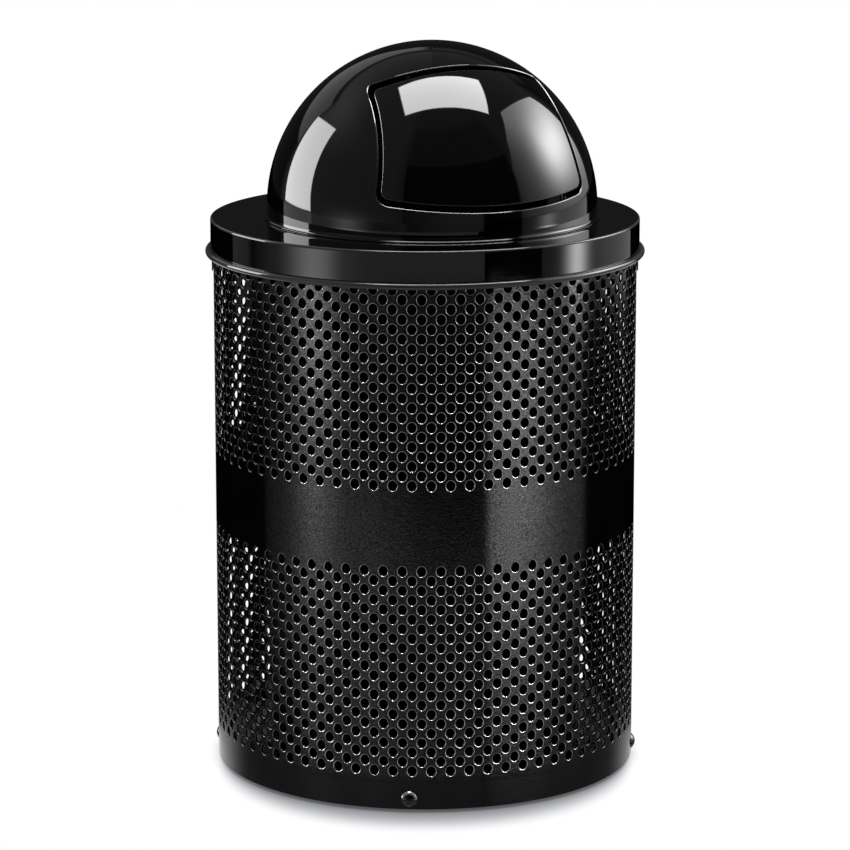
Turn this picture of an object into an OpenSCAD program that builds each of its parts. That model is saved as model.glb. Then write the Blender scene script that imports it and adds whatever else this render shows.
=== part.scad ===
// Dome top waste receptacle with a perforated steel body, a lift-off lid and a self-closing push door.
// +Z is up, the origin is on the floor under the body's axis, and the door faces -Y.

/* [Body] */
// Outside radius of the body sheet
body_r = 285; // [270:1:300]
// Thickness of the body sheet
body_t = 1.8; // [1.5:0.1:2]
// Height of the body sheet's lower edge above the floor
body_z = 5; // [5:0.5:6.5]
// Turn of the body and its base bolts away from the door, in degrees
body_turn = -27; // [-45:1:45]

/* [Base] */
// Height of the base pan's flange
pan_flange_h = 33; // [26:1:38]
// Thickness of the base pan
pan_t = 2; // [1.5:0.1:2.5]
// Height of the base bolts above the floor
bolt_z = 19; // [19:0.5:26]
// Radius of the circle that the glide feet stand on
glide_r = 242; // [235:1:250]
// Circle diameter of the four anchor holes in the pan
anchor_pcd = 442; // [438:1:444]
// Radius of an anchor hole
anchor_hole_r = 7; // [5:0.5:8]

/* [Liner] */
// Outside radius of the liner at its foot
liner_r0 = 206; // [190:1:215]
// Outside radius of the liner under its rim
liner_r1 = 241; // [230:1:250]
// Height of the liner
liner_h = 686; // [600:1:700]
// Wall of the liner
liner_t = 3; // [2:0.5:5]

/* [Lid] */
// Outside radius of the lid's skirt
lid_r = 288.6; // [288:0.1:290]
// Height of the lid's flat top above the floor
lid_z = 749; // [740:1:760]
// Sheet thickness of the lid and the dome
lid_t = 1.4; // [1.2:0.1:1.6]
// Height of the bead's centre above the floor
bead_z = 703.5; // [700:0.5:712]
// Radius of the rolled bead
bead_r = 4.2; // [3.5:0.1:5]

/* [Dome] */
// Outside radius of the dome
dome_r = 222; // [215:1:226]
// Height of the dome's centre above the lid's flat top
dome_rise = 13.5; // [12:0.5:20]
// Sideways distance from the lid's centre to the dome's centre
dome_dx = 7; // [0:0.5:9]
// Forward distance from the lid's centre to the dome's centre
dome_dy = -8; // [-10:0.5:0]
// Radius of the dome's flared lip
lip_r = 225; // [224.5:0.1:228]

/* [Door] */
// Half width of the door opening, 45 mm above the dome's centre
open_w = 147; // [135:1:150]
// Height of the opening's top edge above the dome's centre
open_top = 200; // [190:1:200]
// Height of the opening's lower edge above the dome's centre
open_low = 24; // [20:1:30]
// Gap at the sides of the door
gap_side = 4.6; // [4:0.1:6]
// Gap above the door
gap_top = 5; // [4:0.1:6]
// Gap below the door
gap_low = 8; // [7:0.1:10]
// Angle that the door is shown at, in degrees
door_open = 0; // [0:1:70]

/* [Hidden] */

$fn = 96;
black = [0.07, 0.07, 0.075];
zinc = [0.72, 0.72, 0.7];
rubber = [0.1, 0.1, 0.1];

lid_under = lid_z - lid_t;              // underside of the lid's flat top
body_top = lid_under - 0.3;             // the lid rests just above the body's edge
body_in = body_r - body_t;              // inside radius of the body
pan_z = body_z + 2;                     // underside of the pan
pan_r = body_in - 0.1;                  // outside radius of the pan's flange
pan_in = pan_r - pan_t;
bolt_r = 5;
glide_screw_r = 4;
liner_z = pan_z + pan_t + 0.4;
tab_low = 676;
dome_z = lid_z + dome_rise;             // dome centre above the floor
dome_in = dome_r - lid_t;
neck_r = dome_in - 0.3;                 // outside radius of the lid's neck, inside the dome's wall
hinge_y = -71;                          // hinge axis from the dome's centre
hinge_z = 184.9;
rod_r = 3;
barrel_r = 6;
arm_x = 48;                             // middle of an arm's plate
bracket_x = 61.25;                      // middle of a bracket's plate
stop_x = 90;
side_lean = 0.19;                       // the opening narrows by this much per mm of height
top_arc = 305;                          // radius of the opening's top edge, seen from the front
low_arc = 1060;                         // radius of the opening's lower edge
open_rt = 18;                           // corner radii
open_rl = 14;

// ---- outline of the opening and of the door, seen from the front ----

// centre of a corner circle of radius r, inside an arc of radius big about (0, c), and against the leaning side
function corner(w, c, big, r, up) =
    let (k = side_lean, a = w - r * sqrt(1 + k * k) + k * 45,
         // x = a - k z, x^2 + (z - c)^2 = (big - r)^2
         qa = 1 + k * k, qb = -2 * a * k - 2 * c, qc = a * a + c * c - pow(big - r, 2),
         s = sqrt(qb * qb - 4 * qa * qc), z = (-qb + (up ? s : -s)) / (2 * qa))
    [a - k * z, z];

// right half from the bottom to the top, for a shape drawn in by ds at the sides, dt at the top and dl below
function half_outline(ds, dt, dl, n = 8) =
    let (w = open_w - ds * sqrt(1 + side_lean * side_lean),
         ct = open_top - top_arc, cl = open_low + low_arc,
         bt = top_arc - dt, bl = low_arc - dl, rt = open_rt - ds, rl = open_rl - ds,
         pt = corner(w, ct, bt, rt, true), pl = corner(w, cl, bl, rl, false),
         side = atan(side_lean),
         at = atan2(pt[1] - ct, pt[0]), al = atan2(pl[1] - cl, pl[0]))
    concat(
        [for (i = [0 : 5]) let (t = -90 + (al + 90) * i / 6) [bl * cos(t), cl + bl * sin(t)]],
        [for (i = [0 : n]) let (t = al + (side - al) * i / n) [pl[0] + rl * cos(t), pl[1] + rl * sin(t)]],
        [for (i = [0 : n]) let (t = side + (at - side) * i / n) [pt[0] + rt * cos(t), pt[1] + rt * sin(t)]],
        [for (i = [1 : 8]) let (t = at + (90 - at) * i / 8) [bt * cos(t), ct + bt * sin(t)]]);

function outline(ds, dt, dl) =
    let (h = half_outline(ds, dt, dl), m = len(h))
    concat(h, [for (i = [m - 2 : -1 : 1]) [-h[i][0], h[i][1]]]);

// a prism along Y with the outline as its section, in the dome's frame
module outline_prism(ds, dt, dl) {
    translate([0, -20, 0]) rotate([90, 0, 0]) linear_extrude(215) polygon(outline(ds, dt, dl));
}

// ---- helpers ----

module at_dome() { translate([dome_dx, dome_dy, dome_z]) children(); }
module in_door() {
    at_dome() translate([0, hinge_y, hinge_z]) rotate([door_open, 0, 0]) translate([0, -hinge_y, -hinge_z]) children();
}
module around(n, r, turn = 0) { for (i = [0 : n - 1]) rotate([0, 0, turn + 360 / n * i]) translate([0, -r, 0]) children(); }
// a cylinder along Y, from y0 outwards
module radial(r, y0, y1) { translate([0, y0, 0]) rotate([90, 0, 0]) cylinder(r = r, h = y0 - y1); }
module tube(ro, ri, h) { difference() { cylinder(r = ro, h = h); translate([0, 0, -1]) cylinder(r = ri, h = h + 2); } }
// part of a spherical shell inside a box: x0..x1 and z0..z1, on the front side
module shell_patch(ro, ri, x0, x1, z0, z1) {
    intersection() {
        difference() { sphere(r = ro); sphere(r = ri); }
        translate([x0, -240, z0]) cube([x1 - x0, 230, z1 - z0]);
    }
}
module x_cyl(r, x0, x1) { translate([x0, hinge_y, hinge_z]) rotate([0, 90, 0]) cylinder(r = r, h = x1 - x0); }

// ---- body ----

module body_shell() {
    color(black) difference() {
        translate([0, 0, body_z]) tube(body_r, body_in, body_top - body_z);
        around(4, body_r, body_turn) translate([0, 0, bolt_z]) radial(bolt_r + 0.3, 8, -8);
    }
}

module top_rim_ring() {
    color(black) translate([0, 0, body_top - 22]) tube(body_in - 0.05, body_in - 3, 20);
}

module base_pan() {
    color(black) difference() {
        translate([0, 0, pan_z]) difference() {
            cylinder(r = pan_r, h = pan_flange_h);
            translate([0, 0, pan_t]) cylinder(r = pan_in, h = pan_flange_h);
        }
        around(4, pan_r, body_turn) translate([0, 0, bolt_z]) radial(bolt_r + 0.3, 8, -8);
        around(4, glide_r, body_turn + 45) translate([0, 0, pan_z - 1]) cylinder(r = glide_screw_r + 0.3, h = 6);
        around(4, anchor_pcd / 2, body_turn) translate([0, 0, pan_z - 1]) cylinder(r = anchor_hole_r, h = 6);
    }
}

module base_bolts() {
    head_r = 10.6; head_h = 5.2; ball = (head_r * head_r + head_h * head_h) / (2 * head_h);
    color(black) around(4, 0, body_turn) translate([0, -body_r, bolt_z]) {
        intersection() {
            translate([0, ball - head_h, 0]) sphere(r = ball);
            radial(head_r, 0, -head_h - 1);
        }
        radial(bolt_r, 20, 0);
    }
}

module base_bolt_washers() {
    color(zinc) around(4, 0, body_turn) translate([0, -pan_in + 0.4, bolt_z]) difference() {
        radial(9.5, 2, 0);
        radial(bolt_r + 0.1, 3, -1);
    }
}

module base_bolt_nuts() {
    color(zinc) around(4, 0, body_turn) translate([0, -pan_in + 2.45, bolt_z]) difference() {
        translate([0, 8, 0]) rotate([90, 0, 0]) cylinder(r = 8 / cos(30), h = 8, $fn = 6);
        radial(bolt_r + 0.03, 9, -1);
    }
}

module glide_feet() {
    color(rubber) around(4, glide_r, body_turn + 45) difference() {
        union() {
            cylinder(r = 17, h = pan_z - 2);
            translate([0, 0, pan_z - 2]) cylinder(r = 20, h = 1.98);
        }
        translate([0, 0, -1]) cylinder(r = 8, h = 4.4);
        translate([0, 0, -1]) cylinder(r = glide_screw_r + 0.1, h = pan_z + 2);
    }
}

module glide_screws() {
    color(zinc) around(4, glide_r, body_turn + 45) {
        translate([0, 0, 1.4]) cylinder(r = 7, h = 2);
        translate([0, 0, 1.4]) cylinder(r = glide_screw_r, h = 17);
    }
}

module glide_nuts() {
    color(zinc) around(4, glide_r, body_turn + 45) translate([0, 0, pan_z + pan_t]) difference() {
        cylinder(r = 6.5 / cos(30), h = 6.5, $fn = 6);
        translate([0, 0, -1]) cylinder(r = glide_screw_r + 0.03, h = 9);
    }
}

// ---- liner ----

module liner() {
    h = liner_h; t = liner_t; k = (liner_r1 - liner_r0) / h; f = 16;
    function wall(z) = liner_r0 + k * z;
    color([0.05, 0.05, 0.055]) translate([0, 0, liner_z]) rotate_extrude() polygon(concat(
        [[0, 0]],
        [for (i = [0 : 6]) [wall(0) - f + f * sin(i * 15), f - f * cos(i * 15)]],
        [[wall(h - 26), h - 26], [wall(h - 24) + 3, h - 22], [wall(h) + 10.5, h - 22], [wall(h) + 12, h - 20],
         [wall(h) + 12, h - 2], [wall(h) + 10, h], [wall(h) - t + 1, h], [wall(h) - t, h - 2],
         [wall(h) + 8.5, h - 3], [wall(h) + 8.5, h - 18], [wall(h - 24) - t + 4, h - 18], [wall(h - 26) - t, h - 24]],
        [for (i = [6 : -1 : 0]) [wall(0) - f + (f - t) * sin(i * 15), f - (f - t) * cos(i * 15) + 1]],
        [[0, t + 1]]));
}

// ---- lid ----

module lid_ring() {
    r = 2.4; bc = lid_r - lid_t + bead_r;
    color(black) difference() {
        union() {
            rotate_extrude() polygon(concat(
                [[0, lid_z]],
                [for (i = [0 : 6]) [lid_r - r + r * sin(i * 15), lid_z - r + r * cos(i * 15)]],
                [[lid_r, bead_z], [lid_r - lid_t, bead_z]],
                [for (i = [6 : -1 : 0]) [lid_r - r + (r - lid_t) * sin(i * 15), lid_z - r + (r - lid_t) * cos(i * 15)]],
                [[0, lid_under]]));
            rotate_extrude() translate([bc, bead_z]) circle(r = bead_r);
            translate([dome_dx, dome_dy, lid_under]) cylinder(r = neck_r, h = 13);
        }
        translate([dome_dx, dome_dy, lid_under - 1]) cylinder(r = neck_r - lid_t, h = 20);
    }
}

// strips inside the skirt, a half turn apart, that keep the lid from sliding off the body
module lid_tabs() {
    color(black) for (a = [-112.8, 67.2]) rotate([0, 0, a]) intersection() {
        translate([0, 0, tab_low]) tube(lid_r - lid_t - 0.05, body_r + 0.4, 60);
        translate([-15, -lid_r - 5, tab_low]) cube([30, 20, 60]);
    }
}

module dome_shell() {
    w = dome_rise;
    color(black) at_dome() difference() {
        union() {
            difference() {
                sphere(r = dome_r);
                sphere(r = dome_in);
                translate([0, 0, -2 * dome_r]) cube(4 * dome_r, center = true);
            }
            translate([0, 0, -w + 0.05]) tube(dome_r, dome_in, w - 0.05);
            // flared lip
            translate([0, 0, -w + 0.05]) rotate_extrude() polygon(concat(
                [[dome_r - 0.5, 0], [lip_r - 0.4, 0], [lip_r, 0.4], [lip_r, 1.4]],
                [for (i = [0 : 5]) [lip_r - (lip_r - dome_r) * sin(i * 18), 1.6 + 5 * (1 - cos(i * 18))]],
                [[dome_r - 0.5, 7]]));
        }
        outline_prism(0, 0, 0);
    }
}

module bracket() {
    color(black) difference() {
        union() {
            intersection() {
                sphere(r = dome_in - 0.05);
                union() {
                    x_cyl(8, bracket_x - 1.25, bracket_x + 1.25);
                    translate([bracket_x, hinge_y, hinge_z]) rotate([12, 0, 0]) translate([-1.25, -8, 0]) cube([2.5, 16, 40]);
                }
            }
            intersection() {
                difference() { sphere(r = dome_in - 0.05); sphere(r = dome_in - 2.05); }
                translate([bracket_x - 11, hinge_y - 11, hinge_z]) cube([22, 26, 60]);
            }
        }
        x_cyl(rod_r, bracket_x - 20, bracket_x + 20);
    }
}
module hinge_bracket_left() { at_dome() mirror([1, 0, 0]) bracket(); }
module hinge_bracket_right() { at_dome() bracket(); }

module hinge_rod() { color(zinc) at_dome() x_cyl(rod_r, -69, 69); }

module rod_caps() {
    color(zinc) at_dome() for (s = [-1, 1]) difference() {
        x_cyl(5.5, s > 0 ? 62.7 : -66.2, s > 0 ? 66.2 : -62.7);
        x_cyl(rod_r, -80, 80);
    }
}

module rest_bumpers() {
    // short rubber studs, square to the dome's surface
    color(rubber) at_dome() for (s = [-1, 1]) rotate([0, 0, s * asin(stop_x / 219)]) rotate([-4.5, 0, 0])
        intersection() {
            sphere(r = dome_in - 0.05);
            difference() { radial(6.5, -210, -225); sphere(r = 217.8); }
        }
}

// ---- door ----

module door_panel() {
    color(black) in_door() intersection() {
        difference() { sphere(r = dome_r); sphere(r = dome_in); }
        outline_prism(gap_side, gap_top, gap_low);
    }
}

module arm() {
    color(black) difference() {
        union() {
            x_cyl(barrel_r, arm_x - 8, arm_x + 8);
            intersection() {
                sphere(r = dome_in - 0.05);
                translate([arm_x - 1.25, 0, 0]) rotate([90, 0, 90]) linear_extrude(2.5)
                    polygon([[hinge_y + 4, hinge_z + 5.5], [-98.8, 190], [-135, 175], [-160, 150], [-142, 136], [hinge_y - 2, hinge_z - 5.5]]);
            }
            // foot on the panel
            intersection() {
                difference() { sphere(r = dome_in - 0.05); sphere(r = dome_in - 1.75); }
                translate([arm_x - 9, -165, 152]) cube([18, 100, 34]);
            }
        }
        x_cyl(rod_r + 0.06, arm_x - 20, arm_x + 20);
    }
}
module door_arm_left() { in_door() mirror([1, 0, 0]) arm(); }
module door_arm_right() { in_door() arm(); }

// a joggled strip on the door's lower edge that passes behind the dome and meets a bumper
module stop() {
    color(black) union() {
        shell_patch(dome_in - 0.05, dome_in - 1.65, stop_x - 11, stop_x + 11, 38, 64);
        shell_patch(dome_in - 0.05, dome_in - 4.65, stop_x - 11, stop_x + 11, 38, 40);
        shell_patch(dome_in - 3.15, dome_in - 4.65, stop_x - 11, stop_x + 11, 9, 40);
    }
}
module door_stop_left() { in_door() mirror([1, 0, 0]) stop(); }
module door_stop_right() { in_door() stop(); }

// torsion spring between the arm's barrel and the bracket, drawn as close rings with two legs
module spring() {
    wire = 0.8; coil = 4.9; x0 = arm_x - 9.2;
    color(zinc) {
        for (i = [0 : 7]) translate([x0 - i * 1.5, hinge_y, hinge_z]) rotate([0, 90, 0]) rotate_extrude() translate([coil, 0]) circle(r = wire, $fn = 24);
        // leg along the arm
        translate([x0, hinge_y + 1.5, hinge_z - coil]) rotate([94.5, 0, 0]) cylinder(r = wire - 0.06, h = 52, $fn = 24);
        // leg towards the rear
        translate([x0 - 7 * 1.5, hinge_y - 1.5, hinge_z + coil]) rotate([-90, 0, 0]) cylinder(r = wire - 0.06, h = 12, $fn = 24);
    }
}
module spring_left() { in_door() mirror([1, 0, 0]) spring(); }
module spring_right() { in_door() spring(); }

body_shell();
top_rim_ring();
base_pan();
base_bolts();
base_bolt_washers();
base_bolt_nuts();
glide_feet();
glide_screws();
glide_nuts();
liner();
lid_ring();
lid_tabs();
dome_shell();
hinge_bracket_left();
hinge_bracket_right();
hinge_rod();
rod_caps();
rest_bumpers();
door_panel();
door_arm_left();
door_arm_right();
door_stop_left();
door_stop_right();
spring_left();
spring_right();
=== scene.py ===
import math

import bpy
import numpy as np
from mathutils import Matrix, Vector
from mathutils.geometry import delaunay_2d_cdt


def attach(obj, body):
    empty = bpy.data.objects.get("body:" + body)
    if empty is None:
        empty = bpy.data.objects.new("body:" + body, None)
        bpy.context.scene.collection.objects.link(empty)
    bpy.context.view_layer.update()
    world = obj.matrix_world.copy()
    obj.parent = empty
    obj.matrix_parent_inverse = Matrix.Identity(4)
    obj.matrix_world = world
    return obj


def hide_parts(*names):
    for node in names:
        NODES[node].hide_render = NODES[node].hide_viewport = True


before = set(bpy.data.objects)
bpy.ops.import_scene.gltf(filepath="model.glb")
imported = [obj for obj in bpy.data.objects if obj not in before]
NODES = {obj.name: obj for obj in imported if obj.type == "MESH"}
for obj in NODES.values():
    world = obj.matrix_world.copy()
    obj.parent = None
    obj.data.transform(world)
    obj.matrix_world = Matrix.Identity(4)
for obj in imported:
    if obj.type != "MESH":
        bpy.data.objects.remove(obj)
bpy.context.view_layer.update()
TAU = 2 * math.pi

# ------------------------------------------------------------------ camera
CAM_AZ = math.radians(-22.8)
cam_data = bpy.data.cameras.new("camera")
cam_data.lens = 163.44
cam_data.sensor_width = 36.0
cam_data.clip_start, cam_data.clip_end = 0.1, 100.0
cam = bpy.data.objects.new("camera", cam_data)
bpy.context.scene.collection.objects.link(cam)
cam.location = (5.130 * math.sin(CAM_AZ), -5.130 * math.cos(CAM_AZ), 1.5814)
cam.rotation_euler = (math.radians(90 - 12.33), 0.0, CAM_AZ)
bpy.context.scene.camera = cam
RIGHT = (math.cos(CAM_AZ), math.sin(CAM_AZ), 0.0)
BACK = (math.sin(CAM_AZ), -math.cos(CAM_AZ), 0.0)  # from the object towards the camera, level

scene = bpy.context.scene
scene.view_settings.view_transform = "Standard"
scene.view_settings.look = "None"


# ------------------------------------------------------------------ node expressions
class Ex:
    """A number in a node tree, written with Python's own operators."""

    def __init__(self, tree, value):
        self.tree, self.value = tree, value

    def make(self, op, *args):
        node = self.tree.nodes.new("ShaderNodeMath")
        node.operation = op
        for i, a in enumerate(args):
            v = a.value if isinstance(a, Ex) else a
            if isinstance(v, (int, float)):
                node.inputs[i].default_value = v
            else:
                self.tree.links.new(v, node.inputs[i])
        return Ex(self.tree, node.outputs[0])

    def __add__(self, o): return self.make("ADD", self, o)
    def __radd__(self, o): return self.make("ADD", self, o)
    def __sub__(self, o): return self.make("SUBTRACT", self, o)
    def __rsub__(self, o): return self.make("SUBTRACT", o, self)
    def __mul__(self, o): return self.make("MULTIPLY", self, o)
    def __rmul__(self, o): return self.make("MULTIPLY", self, o)
    def __truediv__(self, o): return self.make("DIVIDE", self, o)
    def __pow__(self, o): return self.make("POWER", self, o)
    def min(self, o): return self.make("MINIMUM", self, o)
    def max(self, o): return self.make("MAXIMUM", self, o)

    def step(self, lo, hi):
        """0 below lo, 1 above hi, smooth between; lo may be the larger, for a falling step."""
        node = self.tree.nodes.new("ShaderNodeMapRange")
        node.interpolation_type = "SMOOTHSTEP"
        self.tree.links.new(self.value, node.inputs["Value"])
        a, b, x, y = (lo, hi, 0.0, 1.0) if lo < hi else (hi, lo, 1.0, 0.0)
        node.inputs["From Min"].default_value = a
        node.inputs["From Max"].default_value = b
        node.inputs["To Min"].default_value = x
        node.inputs["To Max"].default_value = y
        return Ex(self.tree, node.outputs["Result"])

    def ramp(self, lo, hi, a, b):
        """a below lo and b above hi, in a straight line between."""
        node = self.tree.nodes.new("ShaderNodeMapRange")
        self.tree.links.new(self.value, node.inputs["Value"])
        node.inputs["From Min"].default_value = lo
        node.inputs["From Max"].default_value = hi
        node.inputs["To Min"].default_value = a
        node.inputs["To Max"].default_value = b
        return Ex(self.tree, node.outputs["Result"])

    def bell(self, centre, width):
        """1 at centre, falling as a bell curve of that width."""
        d = (self - centre) / width
        return self.make("EXPONENT", d * d * -1.0)


def vec_dot(tree, vec, const):
    node = tree.nodes.new("ShaderNodeVectorMath")
    node.operation = "DOT_PRODUCT"
    tree.links.new(vec, node.inputs[0])
    node.inputs[1].default_value = const
    return Ex(tree, node.outputs["Value"])


# ------------------------------------------------------------------ studio light
def build_world():
    """A dark studio with an overhead softbox, a strip box on the left, a large diffuser on the right and low strip lights."""
    world = bpy.data.worlds.new("studio")
    scene.world = world
    world.use_nodes = True
    t = world.node_tree
    t.nodes.clear()
    coord = t.nodes.new("ShaderNodeTexCoord")
    d = coord.outputs["Generated"]
    x = vec_dot(t, d, RIGHT)
    y = vec_dot(t, d, BACK)
    z = vec_dot(t, d, (0.0, 0.0, 1.0))
    az = x.make("ARCTAN2", x, y) * (180 / math.pi)
    el = z.make("ARCSINE", z.min(1.0).max(-1.0)) * (180 / math.pi)

    def quad(axis_az, corners, soft):
        """1 inside a flat box seen in perspective round a level axis; corners are (azimuth, elevation), in order."""
        a = math.radians(axis_az)
        h = x * math.sin(a) + y * math.cos(a)
        w = (x * math.cos(a) - y * math.sin(a)) / h.max(1e-3)
        v = z / h.max(1e-3)
        pts = [(math.tan(math.radians(ca - axis_az)), math.tan(math.radians(ce)) / math.cos(math.radians(ca - axis_az)))
               for ca, ce in corners]
        return polygon(w, v, pts, soft) * h.step(0.0, 0.02), w, v

    def polygon(u, v, pts, soft):
        area = sum(p[0] * q[1] - q[0] * p[1] for p, q in zip(pts, pts[1:] + pts[:1]))
        if area < 0:
            pts = pts[::-1]
        inside = None
        for (x1, y1), (x2, y2) in zip(pts, pts[1:] + pts[:1]):
            n = math.hypot(x2 - x1, y2 - y1)
            a, b = -(y2 - y1) / n, (x2 - x1) / n
            dist = u * a + v * b + (-(a * x1 + b * y1))
            inside = dist if inside is None else inside.min(dist)
        return inside.step(-soft, soft)

    # overhead softbox, by its corners on a level plane one unit up
    zz = z.max(1e-3)
    top = polygon(x / zz, y / zz, [(-0.292, -0.228), (0.389, -0.477), (0.600, 0.058), (-0.283, 0.250)], 0.008)
    top = top * z.step(0.0, 0.02)
    # strip box on the left, a little brighter along its inner side
    strip, _, _ = quad(-112, [(-123, -3.0), (-129.5, 27), (-102, 37), (-92.6, -3.0)], 0.008)
    # large diffuser on the right, brightest at its lamp
    panel, pu, pv = quad(90, [(64.5, -3.0), (64.5, 26), (74, 42), (97, 53.5), (137, 33), (142, -3.0)], 0.012)
    aside = ((az - 108).max(0.0) / 25) ** 2 + ((108 - az).max(0.0) / 14.5) ** 2 + ((el - 23) / 13.8) ** 2
    lamp = aside.make("EXPONENT", aside * -1.0) * 11.5 + az.ramp(64, 90, 0.2, 1.0) * el.ramp(0, 50, 0.65, 2.0)
    # dim wall behind on the left, its foot higher towards the middle
    foot = az.step(-161, -175) * 12.0 + 15.0
    wall = az.step(-128, -131) * az.step(-180.5, -176) * (el - foot).step(-0.8, 0.8) * el.step(34.3, 32.8) * 0.40
    far = az.step(146, 152) * (el - 29.0).step(-2.0, 2.0) * el.step(34.5, 33) * 0.08
    back = (az.step(-122, -134) + az.step(138, 146)).min(1.0) * el.step(38.0, 36.4)
    block = az.step(-21, -19.5) * az.step(64, 62.5)
    under = block * el.step(36.5, 34.5)
    room = 0.12 + az.step(-20, -30) * 0.05 + az.bell(-113, 28) * el.bell(42, 12) * 0.25 - az.step(-25, -15) * az.step(70, 60) * el.step(66, 58) * 0.05
    upper = (1.0 - under) * (1.0 - back) * room + under * 0.015 + back * (0.02 + el.step(33.5, 35) * 0.05)
    upper = upper + top * 13.0 + strip * az.ramp(-127, -100, 6.4, 9.2) + panel * lamp + wall + far
    front = az.step(-24, -20) * az.step(36.5, 34.5) * az.ramp(-22, 15, 0.045, 0.17)
    upper = upper + az.bell(-60, 15) * el.bell(-8, 7) * 0.75 + front * el.step(5.2, 4.4)
    # near and just below the horizon, and what the lid's skirt faces
    near = (az.step(-126, -124) * az.step(-90, -94) * 0.65 + az.step(-100, -88) * az.step(-36, -60) * 0.3
            + az.bell(-61, 11) * 0.8 + az.step(-60, -36) * az.step(-15, -22) * 0.13
            + front
            + az.step(63.5, 65.5) * az.step(137, 134.5) * az.ramp(66, 100, 0.15, 0.75) + az.bell(87, 7) * 1.5)
    skirt = (az.step(-125, -123.5) * az.step(-104, -110) * 0.17 + az.step(-104, -84) * az.step(-66, -76) * 0.17 + az.step(-108, -100) * az.step(-84, -92) * 0.06
             + az.bell(-61, 13.5) * 2.6 + az.step(-48, -36) * az.step(32, 31) * 0.33
             + az.step(63.5, 65.5) * az.step(143.5, 142.5) * az.ramp(66, 110, 0.18, 0.52)
             + az.bell(88, 7) * 7.5)
    lower = el.step(-9.15, -9.4)
    low = near * (1.0 - lower) + skirt * lower
    # what the body faces: the same two lamps fading downwards, then the dull floor in front of it
    deep = (az.step(-99, -95) * (az.bell(-62, 11) * (el.ramp(-12.0, -10.3, 0.6, 5.6) + el.ramp(-17, -14, -0.3, 0.05))
                                + az.bell(-55, 32) * 0.45)
            + az.bell(-42, 24) * el.ramp(-16.5, -14.2, 0.26, 0.0)
            + az.step(-42, -28) * az.step(0, -12) * el.ramp(-15.8, -13.4, 0.42, 0.02)
            + az.step(-14, 2) * az.step(33, 31) * el.ramp(-16.2, -14.0, 0.52, 0.02)
            + az.step(31.5, 37) * az.step(100, 93) * (az.bell(50, 20) * el.ramp(-17, -10.3, 0.40, 3.2) + az.ramp(60, 95, 0.5, 0.25)))
    dull = el.step(-16.55, -17.05)
    deep = deep * (1.0 - dull) + dull * (0.16 - az.bell(50, 17) * 0.08 + az.step(-114, -146) * 0.7 + az.step(120, 150) * 0.5 + el.step(-22, -32) * 0.35)
    split = el.step(-10.33, -10.26)
    below = low * split + deep * (1.0 - split)
    sky = el.step(-4.2, -3.2)
    light = upper * sky + below * (1.0 - sky)

    shown = t.nodes.new("ShaderNodeBackground")
    shown.inputs["Color"].default_value = (1.0, 1.0, 1.0, 1.0)
    shown.inputs["Strength"].default_value = 1.0
    lit = t.nodes.new("ShaderNodeBackground")
    lit.inputs["Color"].default_value = (1.0, 1.0, 1.0, 1.0)
    t.links.new(light.max(0.0).value, lit.inputs["Strength"])
    path = t.nodes.new("ShaderNodeLightPath")
    mix = t.nodes.new("ShaderNodeMixShader")
    out = t.nodes.new("ShaderNodeOutputWorld")
    t.links.new(path.outputs["Is Camera Ray"], mix.inputs["Fac"])
    t.links.new(lit.outputs[0], mix.inputs[1])
    t.links.new(shown.outputs[0], mix.inputs[2])
    t.links.new(mix.outputs[0], out.inputs["Surface"])
    world.cycles.sampling_method = "MANUAL"
    world.cycles.sample_map_resolution = 1024


build_world()


# ------------------------------------------------------------------ materials
def new_material(name):
    m = bpy.data.materials.new(name)
    m.use_nodes = True
    t = m.node_tree
    return m, t, t.nodes["Principled BSDF"]


def noise(t, scale, detail=2.0, rough=0.5, coord=None, stretch=None):
    n = t.nodes.new("ShaderNodeTexNoise")
    n.inputs["Scale"].default_value = scale
    n.inputs["Detail"].default_value = detail
    n.inputs["Roughness"].default_value = rough
    c = t.nodes.new("ShaderNodeTexCoord")
    src = c.outputs["Object"]
    if stretch:
        mp = t.nodes.new("ShaderNodeMapping")
        mp.inputs["Scale"].default_value = stretch
        t.links.new(src, mp.inputs["Vector"])
        src = mp.outputs["Vector"]
    t.links.new(src, n.inputs["Vector"])
    return n.outputs["Fac"]


def ramp_color(t, fac, stops):
    r = t.nodes.new("ShaderNodeValToRGB")
    while len(r.color_ramp.elements) < len(stops):
        r.color_ramp.elements.new(0.5)
    for e, (p, c) in zip(r.color_ramp.elements, stops):
        e.position = p
        e.color = (*c, 1.0)
    t.links.new(fac, r.inputs["Fac"])
    return r.outputs["Color"]


def ramp_value(t, fac, lo, hi, a, b):
    return Ex(t, fac).ramp(lo, hi, a, b).value


def bump(t, height, strength, distance, normal=None):
    b = t.nodes.new("ShaderNodeBump")
    b.inputs["Strength"].default_value = strength
    b.inputs["Distance"].default_value = distance
    t.links.new(height, b.inputs["Height"])
    if normal is not None:
        t.links.new(normal, b.inputs["Normal"])
    return b.outputs["Normal"]


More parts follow.
